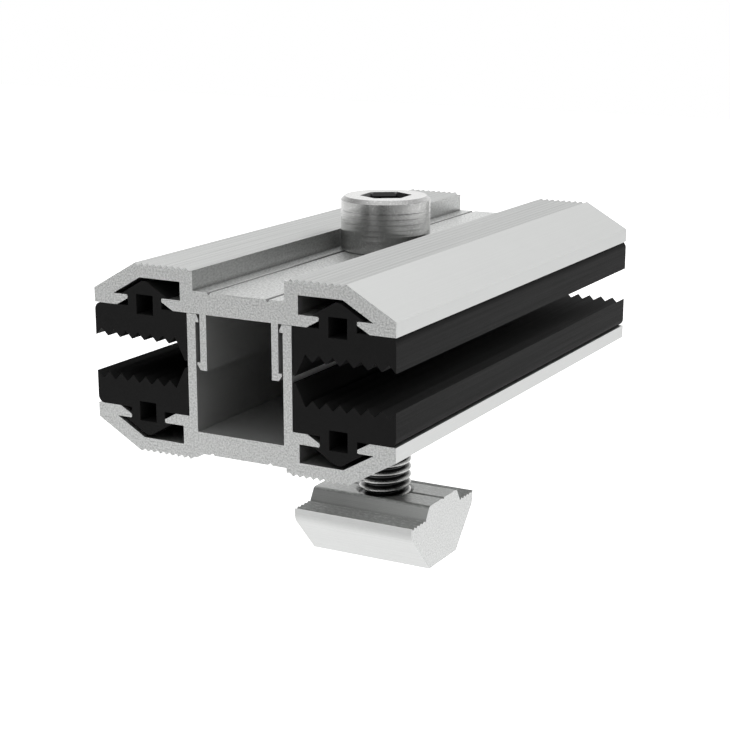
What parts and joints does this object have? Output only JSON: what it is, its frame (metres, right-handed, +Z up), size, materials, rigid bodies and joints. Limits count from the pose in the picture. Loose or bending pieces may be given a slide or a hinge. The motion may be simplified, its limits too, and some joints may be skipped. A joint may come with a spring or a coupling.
{
  "type": "solar panel mid clamp",
  "caption": "Two-sided clamp for frameless solar modules: upper and lower extrusion with rubber inserts, socket head screw and T-slot nut.",
  "frame": {"origin": "on the screw's axis, in the plane of the lower extrusion's tooth tips, which is the rail's surface", "axes": "+X across the clamp and along the rail, +Y along the extrusions and the glass edges, +Z up, away from the rail"},
  "size_m": [0.046, 0.08, 0.0552],
  "materials": {
    "aluminium": "extruded, matt anodised, with fine lines along the extrusion; sawn ends",
    "rubber": "matt black, solid, cut square",
    "screw_steel": "bright stainless steel, turned",
    "nut_aluminium": "extruded, plain, sawn ends"
  },
  "bodies": {
    "lower_half": {"lower_clamp": "aluminium", "rubber_lower_left": "rubber", "rubber_lower_right": "rubber"},
    "upper_half": {"upper_clamp": "aluminium", "rubber_upper_left": "rubber", "rubber_upper_right": "rubber"},
    "screw": {"clamp_screw": "screw_steel"},
    "nut": {"slot_nut": "nut_aluminium"}
  },
  "joints": [
    {"name": "upper_slide", "type": "slide", "parent": "lower_half", "child": "upper_half", "axis": [0, 0, 1], "range_m": [0, 0.00535]},
    {"name": "screw_turn", "type": "hinge", "parent": "upper_half", "child": "screw", "pos_m": [0, 0, 0.023], "axis": [0, 0, 1], "range_deg": [-2304, 720]},
    {"name": "nut_travel", "type": "slide", "parent": "upper_half", "child": "nut", "axis": [0, 0, 1], "range_m": [-0.00251, 0.00801]}
  ],
  "couplings": [
    {"joint": "nut_travel", "follows": "screw_turn", "m_per_rad": -0.00019894}
  ]
}
